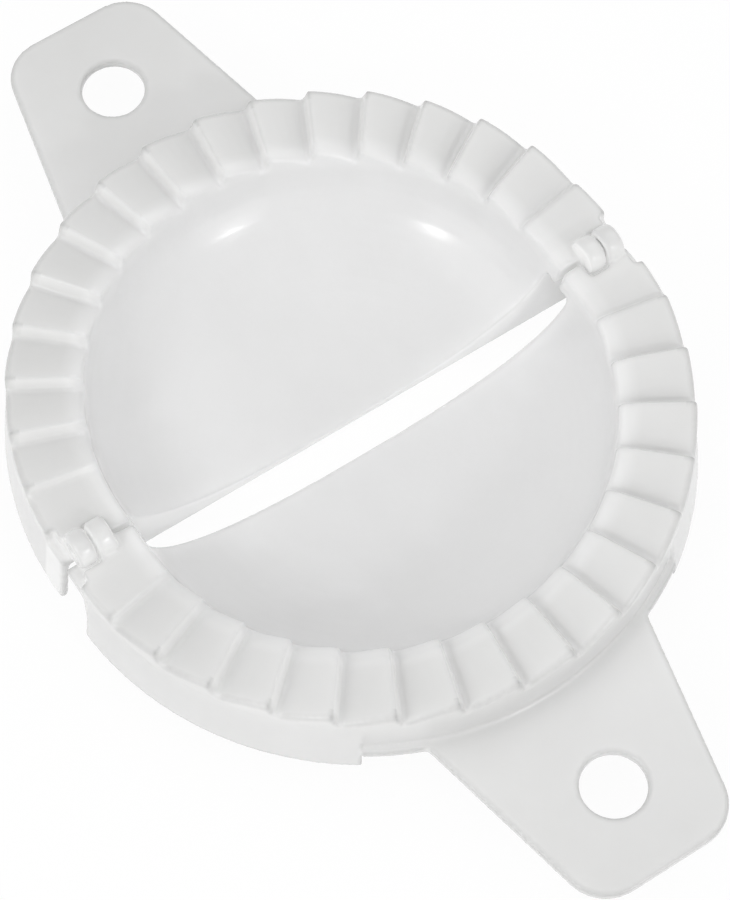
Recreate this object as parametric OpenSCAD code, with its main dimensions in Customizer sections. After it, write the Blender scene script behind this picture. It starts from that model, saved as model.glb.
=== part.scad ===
// Empanada press, lying open: two matching moulded halves on one hinge line.
// Table at z = 0, hinge along X, the back half towards +Y. Sizes in mm.

/* [Rim and bowl] */
// Outer radius of the toothed rim
rim_radius = 60; // [58:0.5:62]
// Inner radius of the rim, where the bowl begins
bowl_radius = 46; // [45:0.5:47]
// Distance from the hinge line to the centre of each half ring
half_offset = 4; // [3.6:0.1:4.4]
// Depth of the bowl below the tooth tips
bowl_depth = 20.8; // [19:0.2:22]
// Shape power of the bowl section, 2 is an ellipse
bowl_power = 2.5; // [2.2:0.1:3]
// Wall thickness of the mouldings
wall = 1.6; // [1.3:0.1:1.9]

/* [Teeth] */
// Number of teeth on each half
tooth_count = 15; // [13:1:17]
// Height of a tooth from root to tip
tooth_height = 3; // [2:0.2:3.4]
// Angle from the ring's end to the first tooth
tooth_start = 10; // [8:1:14]
// Share of a tooth taken by its steep side
step_share = 0.1; // [0.08:0.01:0.2]
// Gap left for dough between closed rims
closed_gap = 0.8; // [0.6:0.1:1.2]

/* [Skirt and handle] */
// Height of the skirt below the tooth tips
skirt_height = 17.9; // [16.5:0.1:18.5]
// How far the skirt flares out at its lower edge
skirt_flare = 1.6; // [1.2:0.2:2.4]
// Depth of the handle's top face below the tooth tips
handle_drop = 11.8; // [10:0.2:12.6]
// Thickness of the handle
handle_thick = 2; // [1.6:0.1:2.4]
// Distance from the hinge line to the handle's tip
handle_reach = 101.2; // [98:0.2:106]
// Half the handle's width at the skirt
handle_root_half = 23.6; // [22:0.2:25]
// Half the handle's width near its tip
handle_tip_half = 16.4; // [15:0.1:18]
// Radius of the handle's rounded corners
corner_radius = 8.5; // [6:0.5:10]
// Radius of the hanging hole
hole_radius = 6; // [5:0.1:6.5]
// Distance from the hinge line to the hanging hole
hole_distance = 84; // [82:0.5:86]

/* [Hinge] */
// Radius of the hinge knuckles
knuckle_radius = 3.5; // [3:0.1:3.6]
// Share of the rim's width taken by one knuckle
knuckle_share = 0.26; // [0.23:0.01:0.28]
// How far the outer knuckle stays inside the rim
knuckle_inset = 2; // [1.8:0.1:2.4]
// Gap between the two knuckles of a pair
knuckle_gap = 0.4; // [0.3:0.1:0.8]
// Radius of the hinge peg
peg_radius = 1.75; // [1.4:0.05:2]
// Clearance around the peg
peg_clearance = 0.05; // [0.03:0.01:0.08]
// Distance from the hinge line to the rim's end
rim_end = 5.8; // [5.4:0.1:6.2]
// Distance from the hinge line to the bowl's end
bowl_end = 3.4; // [3:0.1:3.6]

/* [Which node] */
// Node to draw

/* [Hidden] */
$fn = 96;
// Pieces of the bowl section and of one tooth's ramp
bowl_steps = 18;
ramp_steps = 5;
// Share of the closed gap used by the rounding of the teeth
round_share = 0.36;
// How far the rim runs into the bowl's space before that is cut out
sink = 1;
// Small overlap that fuses touching shapes
fuse = 0.3;
// Sections in each plain end of the ring
plain_steps = 5;
// Extra depth of the bowl's underside, which leaves a flat foot
foot_extra = 0.3;
tip_z = bowl_depth + wall;
root_z = tip_z - tooth_height;
hinge_z = root_z + (tooth_height + closed_gap) / 2;
plain_z = root_z + tooth_height / 2;
plate_z = root_z - wall;
// Heights inside the rim where its skirt and the walls below it end
wall_top = plate_z + 0.25;
plate_top = plate_z + 0.4;
skirt_z = tip_z - skirt_height;
skirt_radius = rim_radius + skirt_flare;
handle_z = tip_z - handle_drop - handle_thick;
tooth_pitch = (180 - 2 * tooth_start) / tooth_count;
far = handle_reach;
edge = 0.5;
// Short end of the skirt beside the inner knuckle
short_end = rim_end + 1.9;
// Long end of the skirt beside the outer knuckle
long_end = 0.4;
knuckle_length = knuckle_share * (rim_radius - bowl_radius);
knuckle_end = rim_radius - knuckle_inset;
outer_from = knuckle_end - knuckle_length;
inner_to = outer_from - knuckle_gap;
inner_from = inner_to - knuckle_length;
knuckle_chamfer = 0.5;
// Top of the shelf that runs under the other half's knuckle
shelf_z = hinge_z - knuckle_radius - 0.3;
// Half angle of the upright stretch of skirt that carries the handle
root_angle = 33;
// How far the ledge's two faces stay inside those of the handle
ledge_step = 0.1;
// How far the handle's straight sides run in under the rim
root_sink = 5;
// Room around the other half's knuckle
room = 0.3;
// Bevel of the rim's outer edge, and width and drop of its rounding to the bowl
edge_round = 0.5;
mouth_round = [2.2, 0.8];
// Angle by which the ring runs past its centre line to reach the hinge line
ring_over = asin(half_offset / bowl_radius) + 1;
moulding = [0.93, 0.93, 0.91];

// Point on the bowl's section at angle a, for a given radius and depth
function bowl_point(r, d, a) =
    [r * pow(cos(a), 2 / bowl_power), tip_z - d * pow(sin(a), 2 / bowl_power)];

// Height of a tooth at step k of its ramp, a straight rise with a slight crown
function tooth_rise(k) = tooth_height * k / ramp_steps
    + closed_gap * round_share * sin(180 * k / ramp_steps);

// Angle and height of each section of the toothed ring
function tooth_sections() = [
    for (i = [0 : tooth_count - 1])
        for (k = [0 : ramp_steps])
            [tooth_start + tooth_pitch * (i + step_share / 2
                + (1 - step_share) * k / ramp_steps),
             root_z + tooth_rise(k)]
];

// Angle of section k in the plain stretch before the first tooth
function plain_angle(k) = -ring_over
    + (tooth_start - tooth_pitch * step_share / 2 + ring_over) * k / plain_steps;

// Ring sections from end to end, the plain ends at half the tooth height
function ring_sections() = concat(
    [for (k = [0 : plain_steps]) [plain_angle(k), plain_z]],
    tooth_sections(),
    [for (k = [0 : plain_steps]) [180 - plain_angle(plain_steps - k), plain_z]]);

// Radius and height around one section of the space over the teeth, whose
// floor is at z and rounds down towards the bowl and the outer edge
function section_outline(z) = [
    [bowl_radius - 2 * sink, tip_z + 2 * sink],
    [bowl_radius - 2 * sink, z - 2 * mouth_round[1]],
    [bowl_radius + mouth_round[0] / 4, z - mouth_round[1] / 2],
    [bowl_radius + mouth_round[0], z],
    [rim_radius - edge_round, z],
    [rim_radius + sink, z - edge_round - sink],
    [rim_radius + sink, tip_z + 2 * sink]
];

// Everything from a distance y0 outwards, on the half's own side
module side_from(y0) {
    intersection() {
        children();
        translate([-far, y0, -far])
            cube([2 * far, 2 * far, 2 * far]);
    }
}

// Space over the toothed top of the rim, flat ramps with steep steps
module tooth_space() {
    s = ring_sections();
    n = len(s);
    m = len(section_outline(0));
    p = [for (a = s) for (c = section_outline(a[1]))
        [c[0] * cos(a[0]), c[0] * sin(a[0]), c[1]]];
    f = [for (i = [0 : n - 2]) for (k = [0 : m - 1])
        for (t = [0, 1])
            t == 0
                ? [m * i + k, m * i + (k + 1) % m, m * i + m + (k + 1) % m]
                : [m * i + k, m * i + m + (k + 1) % m, m * i + m + k]];
    first = [for (k = [0 : m - 1]) m - 1 - k];
    last = [for (k = [0 : m - 1]) m * (n - 1) + k];
    polyhedron(points = p, faces = concat(f, [first, last]));
}

// Rim plate and flared skirt, left tall where the teeth are cut
module rim_blank() {
    rotate_extrude()
        polygon([
            [bowl_radius - sink, plate_z],
            [rim_radius - wall, plate_z],
            [skirt_radius - wall, skirt_z],
            [skirt_radius, skirt_z],
            [rim_radius, plate_top],
            [rim_radius, tip_z + sink],
            [bowl_radius - sink, tip_z + sink]
        ]);
}

// Toothed rim with its skirt
module rim_shell() {
    translate([0, half_offset, 0])
        difference() {
            rim_blank();
            tooth_space();
        }
}

// Space inside the bowl
module bowl_space() {
    translate([0, half_offset, 0])
        rotate_extrude()
            polygon(concat(
                [[0, tip_z + wall], [bowl_radius, tip_z + wall]],
                [for (i = [0 : bowl_steps])
                    bowl_point(bowl_radius, bowl_depth, 90 * i / bowl_steps)]));
}

// Bowl with its space still filled, flat where it stands
module bowl_block() {
    r = bowl_radius + wall;
    d = bowl_depth + wall + foot_extra;
    translate([0, half_offset, 0])
        rotate_extrude()
            intersection() {
                polygon(concat([[0, tip_z]],
                    [for (i = [0 : bowl_steps])
                        bowl_point(r, d, 90 * i / bowl_steps)]));
                square([r, wall_top]);
            }
}

// Upright wall that closes the bowl towards the hinge line
module end_wall() {
    x = bowl_radius + wall;
    translate([-x, bowl_end, 0])
        cube([2 * x, wall, wall_top]);
}

// Upright cheeks that close the rim's two ends
module end_cheeks() {
    intersection() {
        for (s = [-1, 1])
            translate([s > 0 ? bowl_radius - sink : -rim_radius, rim_end, skirt_z])
                cube([rim_radius - bowl_radius + sink, wall, wall_top - skirt_z]);
        translate([0, half_offset, skirt_z])
            cylinder(r1 = skirt_radius - edge, r2 = rim_radius - edge,
                h = root_z - skirt_z);
    }
}

// Outline of the handle seen from above
module handle_outline() {
    c = corner_radius;
    hull() {
        for (s = [-1, 1])
            translate([s * (handle_tip_half - c), handle_reach - c])
                circle(r = c);
        translate([-handle_root_half, half_offset + rim_radius - root_sink])
            square([2 * handle_root_half, edge]);
    }
}

// Handle plate with its hanging hole
module handle() {
    difference() {
        translate([0, 0, handle_z])
            linear_extrude(handle_thick)
                handle_outline();
        translate([0, hole_distance, handle_z - edge])
            cylinder(r = hole_radius, h = handle_thick + 2 * edge);
        translate([0, half_offset, handle_z - edge])
            cylinder(r = rim_radius - wall / 2, h = handle_thick + 2 * edge);
    }
}

// Ring sector about the handle's direction, with the given section below it
module root_sector() {
    translate([0, half_offset, 0])
        rotate([0, 0, 90 - root_angle])
            rotate_extrude(angle = 2 * root_angle)
                children();
}

// Upright stretch of skirt with a ledge, where the handle grows out of the rim
module handle_root() {
    r = rim_radius - wall + edge / 5;
    z = handle_z + ledge_step;
    root_sector() {
        translate([r, z])
            square([rim_radius - r, wall_top - z]);
        translate([r, z])
            square([skirt_radius - r, handle_thick - 2 * ledge_step]);
    }
}

// One round knuckle from x0, with its arm back to the half
module knuckle(x0) {
    c = knuckle_chamfer;
    translate([x0, 0, hinge_z])
        rotate([0, 90, 0])
            rotate_extrude()
                polygon([
                    [0, 0], [knuckle_radius - c, 0], [knuckle_radius, c],
                    [knuckle_radius, knuckle_length - c],
                    [knuckle_radius - c, knuckle_length], [0, knuckle_length]
                ]);
    translate([x0, 0, hinge_z - knuckle_radius])
        cube([knuckle_length, rim_end + wall,
            plain_z - hinge_z + knuckle_radius]);
}

// Inner knuckle with the peg that snaps into the other half
module peg_knuckle() {
    knuckle(inner_from);
    translate([inner_to - fuse, 0, hinge_z])
        rotate([0, 90, 0])
            cylinder(r = peg_radius,
                h = knuckle_gap + knuckle_length + fuse - edge);
}

// Outer knuckle with the bore that takes the peg, at the left end
module bore_knuckle() {
    difference() {
        translate([-knuckle_end - outer_from, 0, 0])
            knuckle(outer_from);
        translate([-knuckle_end - edge, 0, hinge_z])
            rotate([0, 90, 0])
                cylinder(r = peg_radius + peg_clearance,
                    h = knuckle_length + 2 * edge);
    }
}

// Everything that the rim gives up around the knuckles, on both ends
module hinge_room() {
    for (s = [-1, 1])
        scale([s, 1, 1]) {
            translate([inner_from - room, -far, shelf_z])
                cube([far, far + knuckle_radius + room, far]);
            translate([knuckle_end + room, -far, shelf_z])
                cube([far, far + rim_end, far]);
        }
}

// Skirt and plate: the plate reaches the hinge line, the skirt stops short
// of it, at the left beside the outer knuckle and at the right well before
module trimmed_rim() {
    inside = rim_radius - 2 * wall;
    side_from(long_end)
        difference() {
            rim_shell();
            translate([-inside, -far, plate_z - far])
                cube([2 * far, far + rim_end, far]);
            translate([inside, -far, plate_z - far])
                cube([far, far + short_end, far]);
            root_sector()
                translate([inside, 0])
                    square([far, plate_z]);
        }
}

// Shelves that close the rim under the knuckles, up to the hinge line
module hinge_shelves() {
    for (s = [-1, 1])
        translate([s > 0 ? bowl_radius - sink : -rim_radius, long_end,
            shelf_z - wall])
            cube([rim_radius - bowl_radius + sink,
                rim_end + wall - edge - long_end, wall]);
}

// One half of the press, drawn on the +Y side
module half() {
    difference() {
        union() {
            difference() {
                trimmed_rim();
                hinge_room();
            }
            handle_root();
            side_from(bowl_end)
                bowl_block();
            end_wall();
            end_cheeks();
            hinge_shelves();
            handle();
        }
        bowl_space();
    }
    peg_knuckle();
    bore_knuckle();
}

// Half that lifts and folds over
module back_half() {
    color(moulding)
        half();
}

// Half that stays on the table, the same moulding turned round
module front_half() {
    color(moulding)
        rotate([0, 0, 180])
            half();
}

front_half();
back_half();
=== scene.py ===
"""Empanada press lying open: soft moulded halves in milky plastic, seen as in the photograph."""

import math

import bmesh
import bpy
import numpy as np
from mathutils import Matrix, Vector


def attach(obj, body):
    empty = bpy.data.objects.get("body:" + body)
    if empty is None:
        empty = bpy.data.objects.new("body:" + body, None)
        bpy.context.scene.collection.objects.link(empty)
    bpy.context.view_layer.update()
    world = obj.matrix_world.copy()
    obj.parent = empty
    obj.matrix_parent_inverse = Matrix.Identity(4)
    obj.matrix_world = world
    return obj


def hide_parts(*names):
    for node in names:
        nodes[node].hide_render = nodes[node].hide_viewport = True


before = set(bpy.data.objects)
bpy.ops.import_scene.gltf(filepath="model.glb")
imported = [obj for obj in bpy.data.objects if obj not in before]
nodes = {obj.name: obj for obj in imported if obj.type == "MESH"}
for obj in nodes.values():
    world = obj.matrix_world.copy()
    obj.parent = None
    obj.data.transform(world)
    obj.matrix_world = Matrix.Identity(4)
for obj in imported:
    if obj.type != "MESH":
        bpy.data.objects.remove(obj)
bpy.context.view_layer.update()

MM = 0.001

# Camera, as solved from the photograph: direction, aim point on the rim plane, distance
CAMERA_AZIMUTH = math.radians(-32.93)
CAMERA_ELEVATION = math.radians(64.39)
CAMERA_AIM = Vector((-4.3, -11.5, 22.4)) * MM
CAMERA_DISTANCE = 574.1 * MM
CAMERA_FOCAL_PIXELS = 3235.7

# Picture's long side in pixels, the sensor along it in mm, nearest and furthest sight in m
IMAGE_LONG_SIDE = 900.0
SENSOR = 36.0
CLIP = (0.01, 20.0)

# Paper: its side, its white in diffuse light, and the share of plain white that the camera
# sees in it; the rest takes the shadow
FLOOR_SIDE = 12.0
PAPER = (0.92, 0.92, 0.92, 1.0)
WHITE_SHARE = 0.95

# Air between the moulding's feet and the paper
FLOOR_GAP = 0.25 * MM

# World light, and lamps with their place, aim, side and power
WHITE = (1.0, 1.0, 1.0, 1.0)
WORLD_LIGHT = 0.72
LAMPS = {
    "left_fill": ((-0.60, 0.10, 0.65), (0.0, 0.0, 0.0), 0.5, 0.9),
    "right_fill": ((0.50, 0.20, 0.70), (0.0, 0.0, 0.0), 0.5, 0.75),
    "front_low": ((0.20, -1.50, 0.45), (0.0, 0.0, 0.0), 0.8, 2.8),
    "left_low": ((-1.50, -0.20, 0.45), (0.0, 0.0, 0.0), 0.8, 2.3),
    "front_lamp": ((0.22, -1.14, 0.79), (0.0, 0.03, 0.01), 0.09, 1.9),
    "left_lamp": ((-1.06, -0.29, 0.91), (0.03, 0.03, 0.01), 0.09, 1.9),
}

# Plastic colour and clearness in the thick rim and handle and in the thin bowl; the bowl's much lighter
# colour is painted light, standing in for light through the thin wall
THICK_COLOUR = (0.79, 0.79, 0.785, 1.0)
THIN_COLOUR_WITH_PAINTED_LIGHT = (0.98, 0.98, 0.98, 1.0)
THICK_CLEAR = 0.12
THIN_CLEAR = 0.2

# Clouding: noise scale and detail, and the noise values between which the colour clears
CLOUD_SCALE = 38.0
CLOUD_DETAIL = 3.0
CLOUD_ROUGHNESS = 0.5
CLOUDED = (0.96, 0.96, 0.958, 1.0)
CLOUD_STOPS = (0.35, 0.68)

# Surface: roughness from clear to clouded, fine grain, and light scattered below the surface
GLOSS = (0.16, 0.28)
GRAIN_SCALE = 900.0
GRAIN_DETAIL = 2.0
GRAIN_STRENGTH = 0.06
GRAIN_HEIGHT = 0.2 * MM
PLASTIC_IOR = 1.49
SCATTER_WEIGHT = 0.5
SCATTER_COLOUR = (1.0, 1.0, 0.98)
SCATTER_DEPTH = 5.0 * MM

# Painted shade on sharp edges, stronger on the outline than on the tooth crests: range of the edge
# measure, and how much darker they get
EDGE_RANGE = (0.02, 0.15)
TOOTH_PAINTED_SHADE = 0.88
OUTLINE_PAINTED_SHADE = 0.62
EDGE_SPREAD = 3

# Painted light in inner corners: range of the edge measure, and how much lighter they get
CORNER_RANGE = (-0.02, -0.15)
CORNER_PAINTED_LIGHT = 1.15

# Distance of each ring's centre from the hinge line, radii between which the wall thickens and the
# bowl's clearness and painted light fade out, and radii between which the rim's teeth end and its
# outline begins
RING_OFFSET = 4.0 * MM
BOWL_CLEAR_AND_PAINTED_LIGHT_MASK = (45.0 * MM, 50.0 * MM)
OUTLINE_MASK = (57.8 * MM, 59.6 * MM)

# Painted light and shade on the handles over the ring radius: lighter past the rim, darker towards the
# tip
ROOT_RADII = (60.0 * MM, 63.0 * MM)
ROOT_PAINTED_LIGHT = 1.05
TIP_RADII = (66.0 * MM, 98.0 * MM)
TIP_PAINTED_SHADE = 0.9

# Painted glow, emission that lightens faces lying in shade: in the gap between the halves,
# between the knuckles, and on the steep sides of the teeth
SLOT_PAINTED_GLOW = 0.08
KNUCKLE_PAINTED_GLOW = 0.16
STEP_PAINTED_GLOW = 0.07

# Where these faces are: each pair runs from no glow to full glow
TURNED = (0.6, 0.9)
GAP_ACROSS = (6.4 * MM, 5.6 * MM)
GAP_BELOW = (21.0 * MM, 19.4 * MM)
GAP_PAST_BOWL = (46.5 * MM, 47.5 * MM)
KNUCKLES_FROM = (49.0 * MM, 50.5 * MM)
KNUCKLES_TO = (58.5 * MM, 57.5 * MM)
KNUCKLES_ABOVE = (14.0 * MM, 16.0 * MM)
STEEP = (0.85, 0.4)
STEPS_ABOVE = (17.8 * MM, 18.8 * MM)
STEPS_FROM = (47.0 * MM, 48.5 * MM)
STEPS_TO = (59.0 * MM, 58.0 * MM)

# End wall's run on under the rim at both ends of the bowl: reach along X, and nearest and far side
WALL_RUN = (47.0 * MM, 53.5 * MM)
WALL_SIDES = (3.4 * MM, 5.0 * MM)
WALL_TOP = 18.0 * MM

# Softening of the moulded edges
VOXEL = 0.36 * MM
SMOOTH_SHARE = 0.5
SMOOTH_PASSES = 12
KEEP_FACES = 0.3


def new_material(name):
    """An empty node material and its tree."""
    material = bpy.data.materials.new(name)
    material.use_nodes = True
    tree = material.node_tree
    tree.nodes.clear()
    return material, tree


def add(tree, kind, **inputs):
    """A shader node with its input sockets set by name."""
    node = tree.nodes.new(kind)
    for key, value in inputs.items():
        node.inputs[key.replace("_", " ")].default_value = value
    return node


def split(tree, vector):
    """The three numbers of a vector."""
    node = tree.nodes.new("ShaderNodeSeparateXYZ")
    tree.links.new(vector, node.inputs["Vector"])
    return node.outputs["X"], node.outputs["Y"], node.outputs["Z"]


def absolute(tree, value):
    """The size of a number, without its sign."""
    node = tree.nodes.new("ShaderNodeMath")
    node.operation = "ABSOLUTE"
    tree.links.new(value, node.inputs[0])
    return node.outputs[0]


def fade(tree, value, start, end, low=0.0, high=1.0):
    """A value that runs from low at start to high at end."""
    node = add(tree, "ShaderNodeMapRange", From_Min=start, From_Max=end, To_Min=low, To_Max=high)
    tree.links.new(value, node.inputs["Value"])
    return node.outputs["Result"]


def combined(tree, operation, first, *others):
    """Numbers put together one after the other by a math operation."""
    result = first
    for other in others:
        node = tree.nodes.new("ShaderNodeMath")
        node.operation = operation
        tree.links.new(result, node.inputs[0])
        tree.links.new(other, node.inputs[1])
        result = node.outputs[0]
    return result


def vector_step(tree, operation, vector, fixed=None):
    """A vector math node fed by a vector, with a fixed second one where it takes one."""
    node = tree.nodes.new("ShaderNodeVectorMath")
    node.operation = operation
    tree.links.new(vector, node.inputs[0])
    if fixed is not None:
        node.inputs[1].default_value = fixed
    return node


def ring_radius(tree, coords, centre_y):
    """Distance from the upright line through the ring's centre."""
    shift = vector_step(tree, "SUBTRACT", coords.outputs["Object"], (0.0, centre_y, 0.0))
    flat = vector_step(tree, "MULTIPLY", shift.outputs["Vector"], (1.0, 1.0, 0.0))
    return vector_step(tree, "LENGTH", flat.outputs["Vector"]).outputs["Value"]


def painted_glow(tree, coords, radius):
    """Painted glow: emission that lightens the shaded gap between the halves, the knuckles and tooth
    steps.
    """
    x, y, height = split(tree, coords.outputs["Object"])
    facing_x, facing_y, facing_up = split(tree, coords.outputs["Normal"])
    along = absolute(tree, x)
    in_gap = fade(tree, absolute(tree, y), *GAP_ACROSS)
    below_rim = fade(tree, height, *GAP_BELOW)
    end_face = fade(tree, absolute(tree, facing_y), *TURNED)
    wall_faces = combined(tree, "MAXIMUM", end_face, fade(tree, along, *GAP_PAST_BOWL))
    slot = combined(tree, "MULTIPLY", wall_faces, in_gap, below_rim)
    knuckle_side = fade(tree, absolute(tree, facing_x), *TURNED)
    knuckles = combined(
        tree, "MULTIPLY", combined(tree, "MAXIMUM", knuckle_side, below_rim), in_gap,
        fade(tree, along, *KNUCKLES_FROM), fade(tree, along, *KNUCKLES_TO),
        fade(tree, height, *KNUCKLES_ABOVE))
    steps = combined(
        tree, "MULTIPLY", fade(tree, facing_up, *STEEP), fade(tree, height, *STEPS_ABOVE),
        fade(tree, radius, *STEPS_FROM), fade(tree, radius, *STEPS_TO))
    return combined(
        tree, "MAXIMUM", fade(tree, slot, 0.0, 1.0, 0.0, SLOT_PAINTED_GLOW),
        fade(tree, knuckles, 0.0, 1.0, 0.0, KNUCKLE_PAINTED_GLOW), fade(tree, steps, 0.0, 1.0, 0.0, STEP_PAINTED_GLOW))


def painted_shading(tree, radius):
    """Painted shade on crests, painted light in inner corners, and painted light and shade on the
    handles: lighter past the rim, darker towards their tips.
    """
    crest = tree.nodes.new("ShaderNodeAttribute")
    crest.attribute_name = "crest"
    sharpness = crest.outputs["Fac"]
    # Painted shade on the tooth crests and, stronger, on the outline
    teeth = fade(tree, sharpness, *EDGE_RANGE, 1.0, TOOTH_PAINTED_SHADE)
    outline = fade(tree, sharpness, *EDGE_RANGE, 1.0, OUTLINE_PAINTED_SHADE)
    inside = fade(tree, radius, *OUTLINE_MASK, 1.0, 0.0)
    crests = combined(tree, "MAXIMUM", outline, combined(tree, "MULTIPLY", teeth, inside))
    # Painted light in inner corners
    # Painted light past the rim and painted shade towards the handle tips
    return combined(
        tree, "MULTIPLY", crests, fade(tree, sharpness, *CORNER_RANGE, 1.0, CORNER_PAINTED_LIGHT),
        fade(tree, radius, *ROOT_RADII, 1.0, ROOT_PAINTED_LIGHT), fade(tree, radius, *TIP_RADII, 1.0, TIP_PAINTED_SHADE))


def milky_plastic(name, centre_y):
    """Milky polypropylene: faint clouding in the colour, an uneven soft gloss, a clearer bowl painted
    lighter, painted edge shade and painted glow.
    """
    material, tree = new_material(name)
    link = tree.links.new
    coords = tree.nodes.new("ShaderNodeTexCoord")
    radius = ring_radius(tree, coords, centre_y)
    # The bowl mask makes the bowl clearer and carries its painted light
    thin = fade(tree, radius, *BOWL_CLEAR_AND_PAINTED_LIGHT_MASK, 1.0, 0.0)
    cloud = add(tree, "ShaderNodeTexNoise", Scale=CLOUD_SCALE, Detail=CLOUD_DETAIL,
                Roughness=CLOUD_ROUGHNESS)
    link(coords.outputs["Object"], cloud.inputs["Vector"])
    clouding = tree.nodes.new("ShaderNodeValToRGB")
    for stop, position, colour in zip(clouding.color_ramp.elements, CLOUD_STOPS, (CLOUDED, WHITE)):
        stop.position = position
        stop.color = colour
    link(cloud.outputs["Fac"], clouding.inputs["Fac"])
    # Thick colour to thin colour: the bowl's lighter colour is painted light
    bowl_colour_and_painted_light = tree.nodes.new("ShaderNodeValToRGB")
    for stop, colour in zip(bowl_colour_and_painted_light.color_ramp.elements, (THICK_COLOUR, THIN_COLOUR_WITH_PAINTED_LIGHT)):
        stop.color = colour
    link(thin, bowl_colour_and_painted_light.inputs["Fac"])
    tint = vector_step(tree, "MULTIPLY", bowl_colour_and_painted_light.outputs["Color"])
    link(clouding.outputs["Color"], tint.inputs[1])
    colour_with_painted_shading = vector_step(tree, "SCALE", tint.outputs["Vector"])
    # The colour is scaled by painted shade and painted light
    link(painted_shading(tree, radius), colour_with_painted_shading.inputs["Scale"])
    grain = add(tree, "ShaderNodeTexNoise", Scale=GRAIN_SCALE, Detail=GRAIN_DETAIL)
    link(coords.outputs["Object"], grain.inputs["Vector"])
    bump = add(tree, "ShaderNodeBump", Strength=GRAIN_STRENGTH, Distance=GRAIN_HEIGHT)
    link(grain.outputs["Fac"], bump.inputs["Height"])
    shader = add(tree, "ShaderNodeBsdfPrincipled", IOR=PLASTIC_IOR, Subsurface_Weight=SCATTER_WEIGHT,
                 Subsurface_Radius=SCATTER_COLOUR, Subsurface_Scale=SCATTER_DEPTH, Emission_Color=WHITE)
    link(colour_with_painted_shading.outputs["Vector"], shader.inputs["Base Color"])
    link(fade(tree, thin, 0.0, 1.0, THICK_CLEAR, THIN_CLEAR), shader.inputs["Transmission Weight"])
    # Painted glow as emission in the gap, the knuckles and the tooth steps
    link(painted_glow(tree, coords, radius), shader.inputs["Emission Strength"])
    link(fade(tree, cloud.outputs["Fac"], 0.0, 1.0, *GLOSS), shader.inputs["Roughness"])
    link(bump.outputs["Normal"], shader.inputs["Normal"])
    out = tree.nodes.new("ShaderNodeOutputMaterial")
    link(shader.outputs["BSDF"], out.inputs["Surface"])
    return material


def floor_material():
    """White paper: it shines white to the camera, in gloss and through plastic, and keeps a shadow."""
    material, tree = new_material("floor_white")
    link = tree.links.new
    paper = add(tree, "ShaderNodeBsdfDiffuse", Color=PAPER)
    white = add(tree, "ShaderNodeEmission", Strength=1.0)
    path = tree.nodes.new("ShaderNodeLightPath")
    rays = [path.outputs[ray] for ray in ("Is Camera Ray", "Is Glossy Ray", "Is Transmission Ray")]
    seen = combined(tree, "MAXIMUM", *rays)
    mix = tree.nodes.new("ShaderNodeMixShader")
    link(fade(tree, seen, 0.0, 1.0, 0.0, WHITE_SHARE), mix.inputs["Fac"])
    link(paper.outputs["BSDF"], mix.inputs[1])
    link(white.outputs["Emission"], mix.inputs[2])
    out = tree.nodes.new("ShaderNodeOutputMaterial")
    link(mix.outputs["Shader"], out.inputs["Surface"])
    return material


def from_mesh(items, name, kind, width):
    """A property of all vertices or edges of a mesh as rows of an array."""
    values = np.empty(width * len(items), dtype=kind)
    items.foreach_get(name, values)
    return values.reshape(-1, width)


def mark_sharp_edges(mesh):
    """Store for each vertex how far its neighbours fall away from it, spread a little around."""
    places = from_mesh(mesh.vertices, "co", np.float32, 3)
    normals = from_mesh(mesh.vertices, "normal", np.float32, 3)
    first, second = from_mesh(mesh.edges, "vertices", np.int32, 2).T
    count = len(places)
    run = places[second] - places[first]
    run /= np.maximum(np.linalg.norm(run, axis=1, keepdims=True), np.finfo(np.float32).tiny)
    neighbours = np.bincount(first, minlength=count) + np.bincount(second, minlength=count)
    fall = (np.bincount(first, -(run * normals[first]).sum(axis=1), count)
            + np.bincount(second, (run * normals[second]).sum(axis=1), count))
    fall /= np.maximum(neighbours, 1)
    for _ in range(EDGE_SPREAD):
        around = np.bincount(first, fall[second], count) + np.bincount(second, fall[first], count)
        fall = (fall + around) / (neighbours + 1)
    mark = mesh.attributes.new("crest", "FLOAT", "POINT")
    mark.data.foreach_set("value", fall.astype(np.float32))


def run_walls_on(mesh, outwards):
    """Lengthen the bowl's end wall under the rim, which gives the slot its pointed tips."""
    form = bmesh.new()
    form.from_mesh(mesh)
    length = WALL_RUN[1] - WALL_RUN[0]
    width = WALL_SIDES[1] - WALL_SIDES[0]
    for end in (-1, 1):
        middle = Vector((end * sum(WALL_RUN) / 2, outwards * sum(WALL_SIDES) / 2, WALL_TOP / 2))
        stretch = Matrix.Diagonal((length, width, WALL_TOP, 1.0))
        bmesh.ops.create_cube(form, size=1.0, matrix=Matrix.Translation(middle) @ stretch)
    form.to_mesh(mesh)
    form.free()


def soft_copy(node, name, outwards):
    """A copy of a CAD node with the small roundings of a real moulding on all its edges."""
    piece = bpy.data.objects.new(name, node.data.copy())
    run_walls_on(piece.data, outwards)
    bpy.context.scene.collection.objects.link(piece)
    remesh = piece.modifiers.new("remesh", "REMESH")
    remesh.mode = "VOXEL"
    remesh.voxel_size = VOXEL
    smooth = piece.modifiers.new("smooth", "SMOOTH")
    smooth.factor = SMOOTH_SHARE
    smooth.iterations = SMOOTH_PASSES
    thin = piece.modifiers.new("thin", "DECIMATE")
    thin.ratio = KEEP_FACES
    depsgraph = bpy.context.evaluated_depsgraph_get()
    mesh = bpy.data.meshes.new_from_object(piece.evaluated_get(depsgraph))
    piece.modifiers.clear()
    piece.data = mesh
    mesh.shade_smooth()
    mark_sharp_edges(mesh)
    return piece


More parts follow.
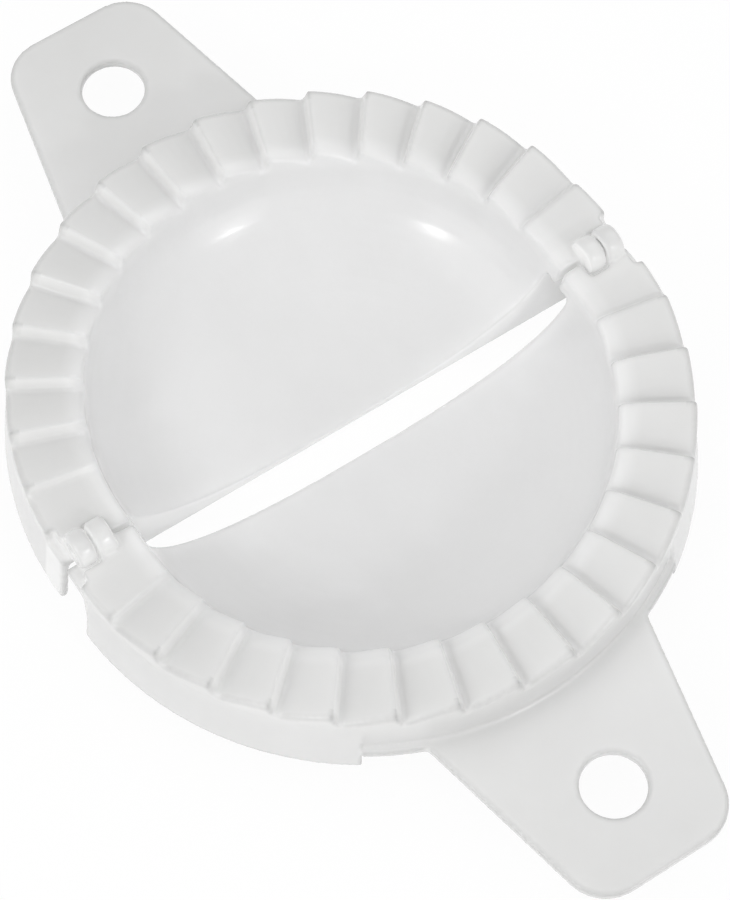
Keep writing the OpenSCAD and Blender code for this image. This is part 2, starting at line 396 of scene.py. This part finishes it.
def make_camera():
    """The photograph's viewpoint."""
    az, el = CAMERA_AZIMUTH, CAMERA_ELEVATION
    back = Vector((math.sin(az) * math.cos(el), -math.cos(az) * math.cos(el), math.sin(el)))
    right = Vector((math.cos(az), math.sin(az), 0.0))
    up = back.cross(right)
    place = CAMERA_AIM + back * CAMERA_DISTANCE
    data = bpy.data.cameras.new("photo_camera")
    data.sensor_width = SENSOR
    data.sensor_fit = "AUTO"
    data.lens = CAMERA_FOCAL_PIXELS * SENSOR / IMAGE_LONG_SIDE
    data.clip_start, data.clip_end = CLIP
    camera = bpy.data.objects.new("photo_camera", data)
    turn = Matrix((right, up, back)).transposed().to_4x4()
    camera.matrix_world = Matrix.Translation(place) @ turn
    bpy.context.scene.collection.objects.link(camera)
    bpy.context.scene.camera = camera


def area_light(name, place, aim, size, power):
    """A square soft light at place, turned towards aim."""
    data = bpy.data.lights.new(name, "AREA")
    data.shape = "SQUARE"
    data.size = size
    data.energy = power
    lamp = bpy.data.objects.new(name, data)
    direction = Vector(aim) - Vector(place)
    lamp.rotation_mode = "QUATERNION"
    lamp.rotation_quaternion = direction.to_track_quat("-Z", "Y")
    lamp.location = place
    bpy.context.scene.collection.objects.link(lamp)


def make_stage():
    """Floor, world light and soft lamps."""
    bpy.ops.mesh.primitive_plane_add(size=FLOOR_SIDE, location=(0.0, 0.0, -FLOOR_GAP))
    floor = bpy.context.object
    floor.name = "floor"
    floor.data.materials.append(floor_material())
    world = bpy.data.worlds.new("studio")
    bpy.context.scene.world = world
    world.use_nodes = True
    background = world.node_tree.nodes["Background"]
    background.inputs["Color"].default_value = WHITE
    background.inputs["Strength"].default_value = WORLD_LIGHT
    for name, (place, aim, size, power) in LAMPS.items():
        area_light(name, place, aim, size, power)


for side, outwards in (("front", -1), ("back", 1)):
    node = nodes[side + "_half"]
    material = milky_plastic("milky_" + side, outwards * RING_OFFSET)
    for slot in node.material_slots:
        slot.material = material
    piece = soft_copy(node, side + "_moulding", outwards)
    piece.data.materials.clear()
    piece.data.materials.append(material)
    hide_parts(side + "_half")
    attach(piece, side)

make_camera()
make_stage()

scene = bpy.context.scene
scene.view_settings.view_transform = "Standard"
